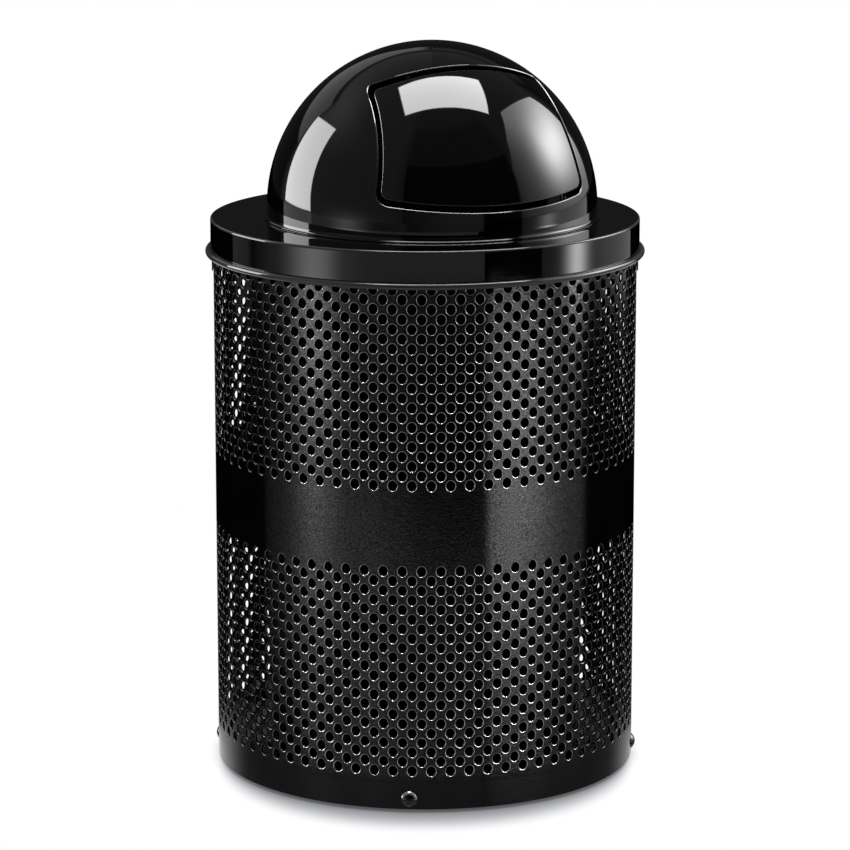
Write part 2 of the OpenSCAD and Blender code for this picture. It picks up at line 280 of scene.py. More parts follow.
def edge_painted_light(t, p, base, metal_level, rough, edge_rough, grain=None, upright=False):
    """Paints light by the mesh's "edge" attribute: above 0 a painted highlight, bright metal that reflects more; below
    0 painted shade, black metal that reflects next to nothing. Grain dulls the rest in fine spots.
    """
    at = t.nodes.new("ShaderNodeAttribute")
    at.attribute_name = "edge"
    raw = Ex(t, at.outputs["Fac"])
    e = raw.max(0.0)
    # painted shade: black metal that reflects next to nothing
    dark = (raw * -1.0).max(0.0)
    if upright:  # painted shade: where the holes' lips, or the round wall, turn away from the view, their painted highlight becomes black metal
        c = t.nodes.new("ShaderNodeTexCoord")
        flat = t.nodes.new("ShaderNodeVectorMath")
        flat.operation = "MULTIPLY"
        t.links.new(c.outputs["Object"], flat.inputs[0])
        flat.inputs[1].default_value = (1.0, 1.0, 0.0)
        unit = t.nodes.new("ShaderNodeVectorMath")
        unit.operation = "NORMALIZE"
        t.links.new(flat.outputs[0], unit.inputs[0])
        lw = t.nodes.new("ShaderNodeLayerWeight")
        lw.inputs["Blend"].default_value = 0.5
        t.links.new(unit.outputs[0], lw.inputs["Normal"])
        own = t.nodes.new("ShaderNodeLayerWeight")
        own.inputs["Blend"].default_value = 0.5
        shown = Ex(t, own.outputs["Facing"]).ramp(0.32, 0.58, 1.0, 0.0) * Ex(t, lw.outputs["Facing"]).ramp(0.17, 0.42, 1.0, 0.07)
        dark = dark + e * (1.0 - shown)
        e = e * shown
    t.links.new((Ex(t, rough) * (1.0 - e) + e * edge_rough).value, p.inputs["Roughness"])
    mix = t.nodes.new("ShaderNodeMix")
    mix.data_type = "RGBA"
    t.links.new(e.value, mix.inputs[0])
    t.links.new(base, mix.inputs[6])
    mix.inputs[7].default_value = (metal_level, metal_level, metal_level, 1.0)
    t.links.new(mix.outputs[2], p.inputs["Base Color"])
    metal = (e + dark).min(1.0)
    t.links.new((metal if grain is None else metal.max(Ex(t, grain))).value, p.inputs["Metallic"])


def powder_black():
    """Semi-gloss powder coat: fine orange peel, faint cloudy gloss changes and dust-fine specks."""
    m, t, p = new_material("powder_black")
    peel = noise(t, 330.0, 2.0, 0.55)
    fine = noise(t, 600.0, 1.0, 0.5)
    broad = noise(t, 70.0, 2.0, 0.5)
    cloud = noise(t, 14.0, 3.0, 0.6)
    base = ramp_color(t, cloud, [(0.3, (0.0005, 0.0005, 0.0006)), (0.7, (0.0009, 0.0009, 0.0010))])
    c = t.nodes.new("ShaderNodeTexCoord")
    part = t.nodes.new("ShaderNodeSeparateXYZ")
    t.links.new(c.outputs["Object"], part.inputs[0])
    low = Ex(t, part.outputs[2]).ramp(0.040, 0.052, 0.0, 1.0)  # the margin by the floor is smoother
    grain = Ex(t, ramp_value(t, fine, 0.42, 0.58, 0.0, 0.7)) * low + (1.0 - low) * 0.48
    # painted highlight on the holes' lips and the bolts' heads, painted shade deep in the holes and on the bolts' lower
    # halves
    edge_painted_light(t, p, base, 0.95, ramp_value(t, cloud, 0.3, 0.7, 0.08, 0.11), 0.27, grain.value, True)
    turned = t.nodes.new("ShaderNodeLayerWeight")
    turned.inputs["Blend"].default_value = 0.5
    calm = Ex(t, turned.outputs["Facing"]).ramp(0.22, 0.45, 1.0, 0.25) * (0.3 + low * 0.7)
    n = bump(t, (Ex(t, broad) * calm).value, 0.10, 0.0006)
    n = bump(t, (Ex(t, peel) * calm).value, 0.30, 0.00024, n)
    t.links.new(n, p.inputs["Normal"])
    p.inputs["IOR"].default_value = 1.72
    return m


def gloss_black():
    """High-gloss enamel: mirror-like, with the slightest long waves of pressed sheet and a film of fine dust."""
    m, t, p = new_material("gloss_black")
    wave = noise(t, 9.0, 1.0, 0.4)
    peel = noise(t, 260.0, 2.0, 0.5)
    smear = noise(t, 22.0, 4.0, 0.65)
    base = ramp_color(t, smear, [(0.35, (0.0006, 0.0006, 0.0007)), (0.75, (0.0012, 0.0012, 0.0013))])
    # painted highlight along the dome's and door's turned-in edges and the lid ring's rounded edge and bead
    edge_painted_light(t, p, base, 0.14, ramp_value(t, smear, 0.35, 0.75, 0.02, 0.04), 0.06)
    n = bump(t, wave, 0.05, 0.0012)
    n = bump(t, peel, 0.10, 0.00005, n)
    t.links.new(n, p.inputs["Normal"])
    p.inputs["IOR"].default_value = 1.5
    return m


def zinc_plate():
    """Bright zinc plate: fine drawn grain and a faint crystalline mottle."""
    m, t, p = new_material("zinc_plate")
    mottle = noise(t, 180.0, 4.0, 0.6)
    grain = noise(t, 600.0, 2.0, 0.5, stretch=(1.0, 1.0, 0.12))
    t.links.new(ramp_color(t, mottle, [(0.3, (0.42, 0.43, 0.44)), (0.7, (0.62, 0.62, 0.60))]), p.inputs["Base Color"])
    t.links.new(ramp_value(t, mottle, 0.3, 0.7, 0.24, 0.40), p.inputs["Roughness"])
    p.inputs["Metallic"].default_value = 1.0
    t.links.new(bump(t, grain, 0.15, 0.0001), p.inputs["Normal"])
    return m


def rubber():
    """Moulded rubber: matt, with a fine grain and a dusty bloom."""
    m, t, p = new_material("rubber_black")
    bloom = noise(t, 60.0, 4.0, 0.6)
    t.links.new(ramp_color(t, bloom, [(0.3, (0.012, 0.012, 0.012)), (0.75, (0.026, 0.026, 0.025))]), p.inputs["Base Color"])
    t.links.new(ramp_value(t, bloom, 0.3, 0.7, 0.65, 0.85), p.inputs["Roughness"])
    t.links.new(bump(t, noise(t, 900.0, 2.0), 0.3, 0.0001), p.inputs["Normal"])
    return m


def liner_plastic():
    """Matt black moulded plastic: stipple texture, faint upright draw marks and scuffing."""
    m, t, p = new_material("liner_plastic")
    scuff = noise(t, 30.0, 5.0, 0.65, stretch=(1.0, 1.0, 0.35))
    t.links.new(ramp_color(t, scuff, [(0.35, (0.0004, 0.0004, 0.0005)), (0.75, (0.0010, 0.0010, 0.0011))]), p.inputs["Base Color"])
    t.links.new(ramp_value(t, scuff, 0.3, 0.7, 0.5, 0.68), p.inputs["Roughness"])
    n = bump(t, noise(t, 500.0, 2.0), 0.25, 0.0002)
    t.links.new(n, p.inputs["Normal"])
    p.inputs["Specular IOR Level"].default_value = 0.03
    return m


POWDER, GLOSS, ZINC, RUBBER, LINER = (
    powder_black(), gloss_black(), zinc_plate(), rubber(), liner_plastic())

# ------------------------------------------------------------------ mesh building
UV = "OFBake"


def add_piece(name, verts, loops, sizes, uvs, material, body, replaces=(), normals=None, edge=None):
    """A mesh object from arrays: verts (n, 3) in metres, loops as vertex numbers, sizes as corners per face, uvs per corner."""
    me = bpy.data.meshes.new(name)
    verts = np.asarray(verts, np.float32)
    loops = np.asarray(loops, np.int32)
    sizes = np.asarray(sizes, np.int32)
    me.vertices.add(len(verts))
    me.vertices.foreach_set("co", verts.ravel())
    me.loops.add(len(loops))
    me.loops.foreach_set("vertex_index", loops)
    me.polygons.add(len(sizes))
    me.polygons.foreach_set("loop_start", np.concatenate([[0], np.cumsum(sizes)[:-1]]).astype(np.int32))
    me.polygons.foreach_set("loop_total", sizes)
    me.polygons.foreach_set("use_smooth", np.ones(len(sizes), bool))
    layer = me.uv_layers.new(name=UV, do_init=False)
    layer.uv.foreach_set("vector", np.asarray(uvs, np.float32).ravel())
    # the "edge" attribute carries painted light: painted highlight above 0, painted shade below 0
    if edge is not None:
        at = me.attributes.new("edge", "FLOAT", "POINT")
        at.data.foreach_set("value", np.asarray(edge, np.float32))
    me.update(calc_edges=True)
    if me.validate(verbose=False):
        print("mesh", name, "was repaired by validate")
    if normals is not None:
        check_facing(name, me, np.asarray(normals, float), loops, sizes)
        me.normals_split_custom_set_from_vertices(np.asarray(normals, np.float32).tolist())
    me.materials.append(material)
    ob = bpy.data.objects.new(name, me)
    scene.collection.objects.link(ob)
    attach(ob, body)
    if replaces:
        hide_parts(*replaces)
    return ob


def check_facing(name, me, normals, loops, sizes):
    """Says how many faces look away from the normals given for their corners."""
    face = np.zeros(len(sizes) * 3)
    me.polygons.foreach_get("normal", face)
    mean = np.add.reduceat(normals[loops], np.concatenate([[0], np.cumsum(sizes)[:-1]]), axis=0)
    turned = (face.reshape(-1, 3) * mean).sum(1) < 0
    print(name, len(sizes), "faces,", int(turned.sum()), "look away from their normals")
    if turned.any():
        at = np.add.reduceat(np.array([v.co for v in me.vertices])[loops[:]], np.concatenate([[0], np.cumsum(sizes)[:-1]]), axis=0) / sizes[:, None]
        print("  ", at[turned][:4].round(4).tolist(), at[turned].mean(0).round(4).tolist())


class Sheet:
    """Collects vertices with normals, and faces with a UV for each corner."""

    def __init__(self):
        self.v, self.n, self.loops, self.sizes, self.uv, self.edge = [], [], [], [], [], []
        self.count = 0

    def points(self, co, normals, edge=0.0):
        co, normals = np.asarray(co, float), np.asarray(normals, float)
        self.edge.append(np.broadcast_to(np.asarray(edge, float), (len(co),)))
        first = self.count
        self.v.append(co)
        self.n.append(normals)
        self.count += len(co)
        return np.arange(first, self.count)

    def quads(self, a, b, c, d, ua, ub, uc, ud):
        q = np.stack([a, b, c, d], 1)
        self.loops.append(q.ravel())
        self.sizes.append(np.full(len(q), 4))
        self.uv.append(np.stack([ua, ub, uc, ud], 1).reshape(-1, 2))

    def tris(self, a, b, c, ua, ub, uc):
        q = np.stack([a, b, c], 1)
        self.loops.append(q.ravel())
        self.sizes.append(np.full(len(q), 3))
        self.uv.append(np.stack([ua, ub, uc], 1).reshape(-1, 2))

    def piece(self, name, material, body, replaces=(), use_normals=True):
        v, n = np.concatenate(self.v), np.concatenate(self.n)
        return add_piece(name, v, np.concatenate(self.loops), np.concatenate(self.sizes), np.concatenate(self.uv),
                         material, body, replaces, n if use_normals else None, np.concatenate(self.edge))


class Profile:
    """A line of (r, z, normal) points in mm, built from straight runs and arcs, for turning round an axis."""

    def __init__(self):
        self.p = []

    def line(self, r0, z0, r1, z1, n=1, start=True):
        d = math.hypot(r1 - r0, z1 - z0)
        nr, nz = (z1 - z0) / d, -(r1 - r0) / d
        for i in range(0 if start else 1, n + 1):
            k = i / n
            self.p.append((r0 + (r1 - r0) * k, z0 + (z1 - z0) * k, nr, nz))
        return self

    def arc(self, cr, cz, rad, a0, a1, n, start=False):
        """Angles in degrees from +r towards +z. The normal points away from the centre if a1 > a0, or else towards it."""
        s = 1.0 if a1 > a0 else -1.0
        for i in range(0 if start else 1, n + 1):
            a = math.radians(a0 + (a1 - a0) * i / n)
            self.p.append((cr + rad * math.cos(a), cz + rad * math.sin(a), s * math.cos(a), s * math.sin(a)))
        return self


def revolve(sheet, prof, steps, place=None, closed=False, uv=(0.0, 0.0, 1.0, 1.0), painted_light=None):
    """Turns a profile round Z, with its last argument as each point's painted light for the "edge" attribute, a painted
    highlight above 0 and painted shade below 0 (one value for each, or a row of steps). place maps (n, 3) points and
    normals in mm to the row frame; faces look along the profile's normals.
    """
    p = np.array(prof.p, float)
    if closed:
        p = np.concatenate([p, p[:1]])
    m = len(p)
    ang = np.arange(steps) * TAU / steps
    c, s = np.cos(ang), np.sin(ang)
    co = np.stack([p[:, None, 0] * s, -p[:, None, 0] * c, np.repeat(p[:, None, 1], steps, 1)], 2)
    no = np.stack([p[:, None, 2] * s, -p[:, None, 2] * c, np.repeat(p[:, None, 3], steps, 1)], 2)
    flat_co, flat_no = co.reshape(-1, 3), no.reshape(-1, 3)
    if place is not None:
        flat_co, flat_no = place(flat_co, flat_no)
    if np.ndim(painted_light) == 1:
        painted_light = np.array(painted_light)[:, None]
    idx = sheet.points(flat_co * 0.001, flat_no, 0.0 if painted_light is None else np.broadcast_to(painted_light, (m, steps)).ravel()).reshape(m, steps)
    if closed:
        idx[-1] = idx[0]
    arc = np.concatenate([[0], np.cumsum(np.hypot(*(p[1:, :2] - p[:-1, :2]).T))])
    arc = arc / max(arc[-1], 1e-9)
    u = uv[0] + (uv[2] - uv[0]) * np.arange(steps + 1) / steps
    w = uv[1] + (uv[3] - uv[1]) * arc
    k = np.arange(steps)
    for i in range(m - 1):
        if np.allclose(p[i, :2], p[i + 1, :2]):
            continue
        a, b = idx[i], idx[i + 1]
        n0 = np.stack([u[k], np.full(steps, w[i])], 1)
        n1 = np.stack([u[k + 1], np.full(steps, w[i])], 1)
        n2 = np.stack([u[k + 1], np.full(steps, w[i + 1])], 1)
        n3 = np.stack([u[k], np.full(steps, w[i + 1])], 1)
        j = (k + 1) % steps
        if p[i, 0] < 1e-6:  # the axis: a fan
            sheet.tris(a[k], b[j], b[k], n0, n2, n3)
        elif p[i + 1, 0] < 1e-6:
            sheet.tris(a[k], a[j], b[k], n0, n1, n3)
        else:
            sheet.quads(a[k], a[j], b[j], b[k], n0, n1, n2, n3)
    return idx


# ------------------------------------------------------------------ perforated body
BODY_R, BODY_T, BODY_Z0, BODY_Z1 = 285.0, 1.8, 5.0, 747.3
HALF = 142  # half pitches round the body: 71 holes in each row
NU = 4 * HALF
ROW = 0.0451 * BODY_R  # height between rows
TURN = math.degrees(0.0288) - 22.8  # where column 0 is, in degrees from -Y towards +X
# a hole's lip: radius, depth, tilt of the surface towards the hole, and its painted light: above 0 a painted highlight
# of bright metal, below 0 painted shade of black metal deep in the hole
TALL = 1.12  # the holes look a little taller than wide
LIP = [(7.15, 0.0, 0.0, 0.0), (6.95, 0.04, 16.0, 0.36), (6.65, 0.16, 38.0, 1.0), (6.35, 0.38, 54.0, 1.0), (6.05, 0.7, 75.0, -0.6),
       (5.5, 1.1, 88.0, -1.0), (4.9, 1.55, 92.0, -1.0), (4.85, BODY_T, 135.0, -1.0)]


def body_point(s, z, depth):
    """s is the distance round the sheet's outside, in mm from column 0."""
    a = math.radians(TURN) + s / BODY_R
    r = BODY_R - depth
    return np.stack([r * np.sin(a), -r * np.cos(a), np.broadcast_to(z, np.shape(a))], -1)


def build_body():
    step_s = TAU * BODY_R / NU  # a quarter of a half pitch round the sheet
    sheet = Sheet()

    def z_of(field, v):
        zc = field * BODY_R + BODY_Z0
        return zc + ROW * v / 4

    quads, tris = [], []

    def cell_faces(side, u, v, corners, field, vbase, store):
        """Faces whose corners are at (u + du, v + dv)."""
        us = np.stack([u + c[0] for c in corners], 1)
        vs = np.stack([v + c[1] for c in corners], 1)
        zs = z_of(field, vs)
        if side == 1:
            us, vs, zs = us[:, ::-1], vs[:, ::-1], zs[:, ::-1]
        store.append((side, us, vs + vbase, zs))

    QUAD = [(0, 0), (1, 0), (1, 1), (0, 1)]
    rims = []  # for each field: hole centres in quarter steps, with the label base
    FIELDS = [(0.6338, -10, 11, 0, 0), (1.9357, -9, 12, 1, 10000)]
    ring = [(4, 0), (3, 1), (2, 2), (1, 3), (0, 4), (-1, 3), (-2, 2), (-3, 1),
            (-4, 0), (-3, -1), (-2, -2), (-1, -3), (0, -4), (1, -3), (2, -2), (3, -1)]
    for field, j0, j1, odd, base in FIELDS:
        cols = np.arange(HALF)
        for side in (0, 1):
            for edge in (0, 1):  # the notches below the lowest row and above the highest one
                jj = j0 if edge == 0 else j1
                holes = cols[(cols + jj) % 2 == odd] * 4
                for mth in range(4):
                    full = np.concatenate([holes + k for k in range(mth + 1, 7 - mth)]) if mth < 3 else np.array([], int)
                    if edge == 0:
                        v = 4 * (j0 - 1) + mth
                        if len(full):
                            cell_faces(side, full, np.full(len(full), v), QUAD, field, base, quads)
                        cell_faces(side, holes + mth, np.full(len(holes), v), [(0, 0), (1, 0), (1, 1)], field, base, tris)
                        cell_faces(side, holes + 7 - mth, np.full(len(holes), v), [(0, 0), (1, 0), (0, 1)], field, base, tris)
                    else:
                        v = 4 * (j1 + 1) - mth - 1
                        if len(full):
                            cell_faces(side, full, np.full(len(full), v), QUAD, field, base, quads)
                        cell_faces(side, holes + mth, np.full(len(holes), v), [(0, 1), (1, 0), (1, 1)], field, base, tris)
                        cell_faces(side, holes + 7 - mth, np.full(len(holes), v), [(0, 0), (1, 1), (0, 1)], field, base, tris)
        jj, ii = np.meshgrid(np.arange(j0, j1 + 1), cols, indexing="ij")
        keep = (ii + jj) % 2 == odd
        rims.append((field, ii[keep] * 4, jj[keep] * 4, base))
    # plain bands: levels between the fields and at the two ends
    lo_bottom, lo_top = z_of(0.6338, -44), z_of(0.6338, 48)
    up_bottom, up_top = z_of(1.9357, -40), z_of(1.9357, 52)
    bands = [
        [(-5000, BODY_Z0 + 0.45), (-4999, BODY_Z0 + 3), (-4998, BODY_Z0 + 12), (-4997, BODY_Z0 + 25), (-44, lo_bottom)],
        [(48, lo_top)] + [(5000 + i, lo_top + (up_bottom - lo_top) * i / 8) for i in range(1, 8)] + [(10000 - 40, up_bottom)],
        [(10000 + 52, up_top), (6000, up_top + 7), (6001, BODY_Z1 - 3), (6002, BODY_Z1 - 0.45)],
    ]
    allu = np.arange(NU)
    for band in bands:
        for (la, za), (lb, zb) in zip(band[:-1], band[1:]):
            for side in (0, 1):
                us = np.stack([allu, allu + 1, allu + 1, allu], 1)
                vs = np.tile([la, la, lb, lb], (NU, 1))
                zs = np.tile([za, za, zb, zb], (NU, 1)).astype(float)
                if side == 1:
                    us, vs, zs = us[:, ::-1], vs[:, ::-1], zs[:, ::-1]
                quads.append((side, us, vs, zs))
    # holes: the outer and inner cell boundaries, then the rings between
    hole_faces = []
    for field, hu, hv, base in rims:
        for k in range(16):
            (a0, b0), (a1, b1) = ring[k], ring[(k + 1) % 16]
            hole_faces.append((field, base, hu, hv, k, a0, b0, a1, b1))
    # number the grid vertices
    need = []
    for store in (quads, tris):
        for side, us, vs, zs in store:
            need.append(np.stack([np.full(us.size, side), np.mod(us, NU).ravel(), vs.ravel()], 1))
    for field, hu, hv, base in rims:
        for a, b in ring:
            for side in (0, 1):
                need.append(np.stack([np.full(len(hu), side), np.mod(hu + a, NU), hv + b + base], 1))
    need = np.concatenate(need)
    code = (need[:, 0] * NU + need[:, 1]) * 40000 + (need[:, 2] + 10000)
    uniq = np.unique(code)
    side_u = uniq // 40000
    lab = uniq % 40000 - 10000
    u_of, side_of = side_u % NU, side_u // NU
    height = np.zeros(len(uniq))
    low_field, up_field = (lab >= -44) & (lab <= 48), (lab >= 10000 - 40) & (lab <= 10000 + 52)
    height[low_field] = z_of(0.6338, lab[low_field])
    height[up_field] = z_of(1.9357, lab[up_field] - 10000)
    named = {l: z for band in bands for l, z in band}
    rest = ~(low_field | up_field)
    height[rest] = [named[int(l)] for l in lab[rest]]
    co = body_point(u_of * step_s, height, np.where(side_of == 1, BODY_T, 0.0))
    out = co.copy()
    out[:, 2] = 0
    out /= np.linalg.norm(out, axis=1)[:, None]
    out[side_of == 1] *= -1
    first = sheet.points(co * 0.001, out)
    base_index = first[0]

    def find(side, u, v):
        c = (side * NU + np.mod(u, NU)) * 40000 + (v + 10000)
        return base_index + np.searchsorted(uniq, c)

    scale = 1.0 / (TAU * BODY_R)

    def uv_of(side, s, z):
        return np.stack([s * scale, (z - BODY_Z0) * scale + (0.5 if side else 0.0) + 0.01], -1)

    for side, us, vs, zs in quads:
        i = find(side, us, vs)
        w = uv_of(side, us * step_s, zs)
        sheet.quads(i[:, 0], i[:, 1], i[:, 2], i[:, 3], w[:, 0], w[:, 1], w[:, 2], w[:, 3])
    for side, us, vs, zs in tris:
        i = find(side, us, vs)
        w = uv_of(side, us * step_s, zs)
        sheet.tris(i[:, 0], i[:, 1], i[:, 2], w[:, 0], w[:, 1], w[:, 2])

    ang = np.arange(16) * TAU / 16
    for field, hu, hv, base in rims:
        cs, cz = hu * step_s, z_of(field, hv)
        rings = []
        for rad, depth, tilt, painted_edge_light in LIP:
            s = cs[:, None] + rad * np.cos(ang)[None]
            z = cz[:, None] + rad * TALL * np.sin(ang)[None]
            pts = body_point(s, z, depth)
            a = math.radians(TURN) + s / BODY_R
            radial = np.stack([np.sin(a), -np.cos(a), np.zeros_like(a)], -1)
            tangent = np.stack([np.cos(a), np.sin(a), np.zeros_like(a)], -1)
            inward = -(tangent * np.cos(ang)[None, :, None] + np.array([0, 0, 1.0 / TALL]) * np.sin(ang)[None, :, None])
            inward /= np.linalg.norm(inward, axis=2)[:, :, None]
            no = radial * math.cos(math.radians(tilt)) + inward * math.sin(math.radians(tilt))
            # painted highlight on each lip, stronger on its lower half; painted shade, black metal, deep in the hole
            painted_light = np.tile(painted_edge_light * (0.80 - 0.20 * np.sin(ang)) if painted_edge_light > 0 else np.full(16, painted_edge_light), (len(cs), 1)).ravel()
            i = sheet.points(pts.reshape(-1, 3) * 0.001, no.reshape(-1, 3), painted_light).reshape(len(cs), 16)
            rings.append((i, s, z, rad))
        for k in range(16):
            n = (k + 1) % 16
            (a0, b0), (a1, b1) = ring[k], ring[n]
            i, s, z, rad = rings[0]
            oa, ob = find(0, hu + a0, hv + b0 + base), find(0, hu + a1, hv + b1 + base)
            ua = uv_of(0, (hu + a0) * step_s, z_of(field, hv + b0))
            ub = uv_of(0, (hu + a1) * step_s, z_of(field, hv + b1))
            sheet.quads(oa, ob, i[:, n], i[:, k], ua, ub, uv_of(0, s[:, n], z[:, n]), uv_of(0, s[:, k], z[:, k]))
            for r in range(len(rings) - 1):
                i0, i1 = rings[r][0], rings[r + 1][0]
                # on the map, deeper rings shrink into the hole
                f0, f1 = 7.05 - 0.85 * r, 7.05 - 0.85 * (r + 1)

                def hole_uv(f, q):
                    return uv_of(0, cs + f * math.cos(ang[q]), cz + f * math.sin(ang[q]))

                sheet.quads(i0[:, k], i0[:, n], i1[:, n], i1[:, k], hole_uv(f0, k), hole_uv(f0, n), hole_uv(f1, n), hole_uv(f1, k))
            il, sl, zl, radl = rings[-1]
            ia, ib = find(1, hu + a0, hv + b0 + base), find(1, hu + a1, hv + b1 + base)
            wa = uv_of(1, (hu + a0) * step_s, z_of(field, hv + b0))
            wb = uv_of(1, (hu + a1) * step_s, z_of(field, hv + b1))
            sheet.quads(il[:, k], il[:, n], ib, ia, uv_of(1, sl[:, k], zl[:, k]), uv_of(1, sl[:, n], zl[:, n]), wb, wa)
    # the sheet's lower and upper edges, slightly rounded
    for za, level, sgn in ((BODY_Z0, -5000, -1.0), (BODY_Z1, 6002, 1.0)):
        edge = [(0.0, za - sgn * 0.45, 0.0), (0.12, za - sgn * 0.12, 45.0), (0.45, za, 90.0), (BODY_T - 0.45, za, 90.0),
                (BODY_T - 0.12, za - sgn * 0.12, 135.0), (BODY_T, za - sgn * 0.45, 180.0)]
        loops_ = []
        for q, (depth, z, tilt) in enumerate(edge):
            if q == 0:
                loops_.append(find(0, allu, np.full(NU, level)))
            elif q == len(edge) - 1:
                loops_.append(find(1, allu, np.full(NU, level)))
            else:
                pts = body_point(allu * step_s, np.full(NU, z), depth)
                rad = pts.copy()
                rad[:, 2] = 0
                rad /= np.linalg.norm(rad, axis=1)[:, None]
                no = rad * math.cos(math.radians(tilt)) + np.array([0, 0, sgn]) * math.sin(math.radians(tilt))
                loops_.append(sheet.points(pts * 0.001, no))
        vbase = 0.93 if sgn > 0 else 0.96
        nxt = (allu + 1) % NU
        for q in range(len(edge) - 1):
            a, b = loops_[q], loops_[q + 1]
            ua = np.stack([allu / NU, np.full(NU, vbase + 0.004 * q)], 1)
            ub = np.stack([(allu + 1) / NU, np.full(NU, vbase + 0.004 * q)], 1)
            uc = np.stack([(allu + 1) / NU, np.full(NU, vbase + 0.004 * (q + 1))], 1)
            ud = np.stack([allu / NU, np.full(NU, vbase + 0.004 * (q + 1))], 1)
            if sgn > 0:
                sheet.quads(a, a[nxt], b[nxt], b, ua, ub, uc, ud)
            else:
                sheet.quads(a[nxt], a, b, b[nxt], ub, ua, ud, uc)
    return sheet.piece("perforated_shell", POWDER, "body", ("body_shell",))


build_body()

# ------------------------------------------------------------------ dome and door
DOME = np.array([7.0, -8.0, 762.5])
DOME_R, DOME_T, DOME_RISE, LIP_R = 222.0, 1.4, 13.5, 225.0
OPEN_W, OPEN_TOP, OPEN_LOW, LEAN, TOP_ARC, LOW_ARC, RT, RL = 147.0, 200.0, 24.0, 0.19, 305.0, 1060.0, 18.0, 14.0


def corner(w, c, big, r, up):
    k = LEAN
    a = w - r * math.sqrt(1 + k * k) + k * 45
    qa, qb, qc = 1 + k * k, -2 * a * k - 2 * c, a * a + c * c - (big - r) ** 2
    s = math.sqrt(qb * qb - 4 * qa * qc)
    z = (-qb + (s if up else -s)) / (2 * qa)
    return a - k * z, z


def outline(ds, dt, dl, spacing):
    """The opening drawn in by ds at the sides, dt at the top and dl below, as evenly spaced (x, z) points, anticlockwise from the front."""
    w = OPEN_W - ds * math.sqrt(1 + LEAN * LEAN)
    ct, cl = OPEN_TOP - TOP_ARC, OPEN_LOW + LOW_ARC
    bt, bl, rt, rl = TOP_ARC - dt, LOW_ARC - dl, RT - ds, RL - ds
    pt, pl = corner(w, ct, bt, rt, True), corner(w, cl, bl, rl, False)
    side = math.atan(LEAN)
    at, al = math.atan2(pt[1] - ct, pt[0]), math.atan2(pl[1] - cl, pl[0])
    half = []
    for t in np.linspace(-math.pi / 2, al, 200, endpoint=False):
        half.append((bl * math.cos(t), cl + bl * math.sin(t)))
    for t in np.linspace(al, side, 60):
        half.append((pl[0] + rl * math.cos(t), pl[1] + rl * math.sin(t)))
    for t in np.linspace(0, 1, 80)[1:-1]:
        a = (pl[0] + rl * math.cos(side), pl[1] + rl * math.sin(side))
        b = (pt[0] + rt * math.cos(side), pt[1] + rt * math.sin(side))
        half.append((a[0] + (b[0] - a[0]) * t, a[1] + (b[1] - a[1]) * t))
    for t in np.linspace(side, at, 60):
        half.append((pt[0] + rt * math.cos(t), pt[1] + rt * math.sin(t)))
    for t in np.linspace(at, math.pi / 2, 200)[1:]:
        half.append((bt * math.cos(t), ct + bt * math.sin(t)))
    half = np.array(half)
    full = np.concatenate([half, half[1:-1][::-1] * [-1, 1]])
    full = np.concatenate([full, full[:1]])
    # spacing on the sphere, so that the points don't thin out where it turns away
    y = -np.sqrt(np.maximum(DOME_R**2 - (full**2).sum(1), 0))
    p3 = np.column_stack([full[:, 0], y, full[:, 1]])
    arc = np.concatenate([[0], np.cumsum(np.linalg.norm(np.diff(p3, axis=0), axis=1))])
    n = int(round(arc[-1] / spacing))
    t = np.arange(n) * arc[-1] / n
    return np.column_stack([np.interp(t, arc, full[:, 0]), np.interp(t, arc, full[:, 1])])


EDGE_R, EDGE_DEPTH, EDGE_T = 1.5, 3.2, 1.2
# the turned-in edge: along the surface from the edge, depth, the normal's tilt towards the edge, and its painted
# highlight (bright metal)
EDGE = [(EDGE_R, 0.0, 0.0, 0.0), (1.15, 0.04, 14.0, 0.5), (0.8, 0.2, 32.0, 1.0), (0.45, 0.47, 42.0, 1.0), (0.18, 0.8, 56.0, 0.8),
        (0.03, 1.2, 78.0, 0.2), (0.0, 1.5, 90.0, 0.0), (0.0, EDGE_DEPTH - 0.4, 90.0, 0.0), (0.15, EDGE_DEPTH - 0.1, 135.0, 0.0),
        (0.6, EDGE_DEPTH, 180.0, 0.0), (EDGE_T - 0.15, EDGE_DEPTH - 0.1, 225.0, 0.0), (EDGE_T, EDGE_DEPTH - 0.4, 270.0, 0.0),
        (EDGE_T, 1.9, 270.0, 0.0), (EDGE_T + 0.15, 1.55, 225.0, 0.0), (EDGE_R, DOME_T, 180.0, 0.0)]


def edge_rings(points, outward):
    """Rings of the turned-in edge round an outline. outward is 1 where the metal lies outside the outline and -1 where it lies inside."""
    y = -np.sqrt(DOME_R**2 - (points**2).sum(1))
    q = np.column_stack([points[:, 0], y, points[:, 1]])
    n = q / np.linalg.norm(q, axis=1)[:, None]
    e = np.roll(q, -1, 0) - np.roll(q, 1, 0)
    e -= (e * n).sum(1)[:, None] * n
    e /= np.linalg.norm(e, axis=1)[:, None]
    t = np.cross(e, n) * outward  # away from the opening's middle for outward = 1
    out = []
    for along, depth, tilt, painted_edge_light in EDGE:
        c = q + t * along
        c = c / np.linalg.norm(c, axis=1)[:, None]
        tt = t - (t * c).sum(1)[:, None] * c
        tt /= np.linalg.norm(tt, axis=1)[:, None]
        a = math.radians(tilt)
        out.append((c * (DOME_R - depth), c * math.cos(a) - tt * math.sin(a), painted_edge_light))
    return out, q, t


def to_disc(p):
    """A point on the sphere to a flat disc round the zenith, true along the meridians."""
    n = p / np.linalg.norm(p, axis=1)[:, None]
    rho = np.arccos(np.clip(n[:, 2], -1, 1))
    h = np.maximum(np.hypot(n[:, 0], n[:, 1]), 1e-9)
    return np.column_stack([n[:, 0] / h * rho, n[:, 1] / h * rho])


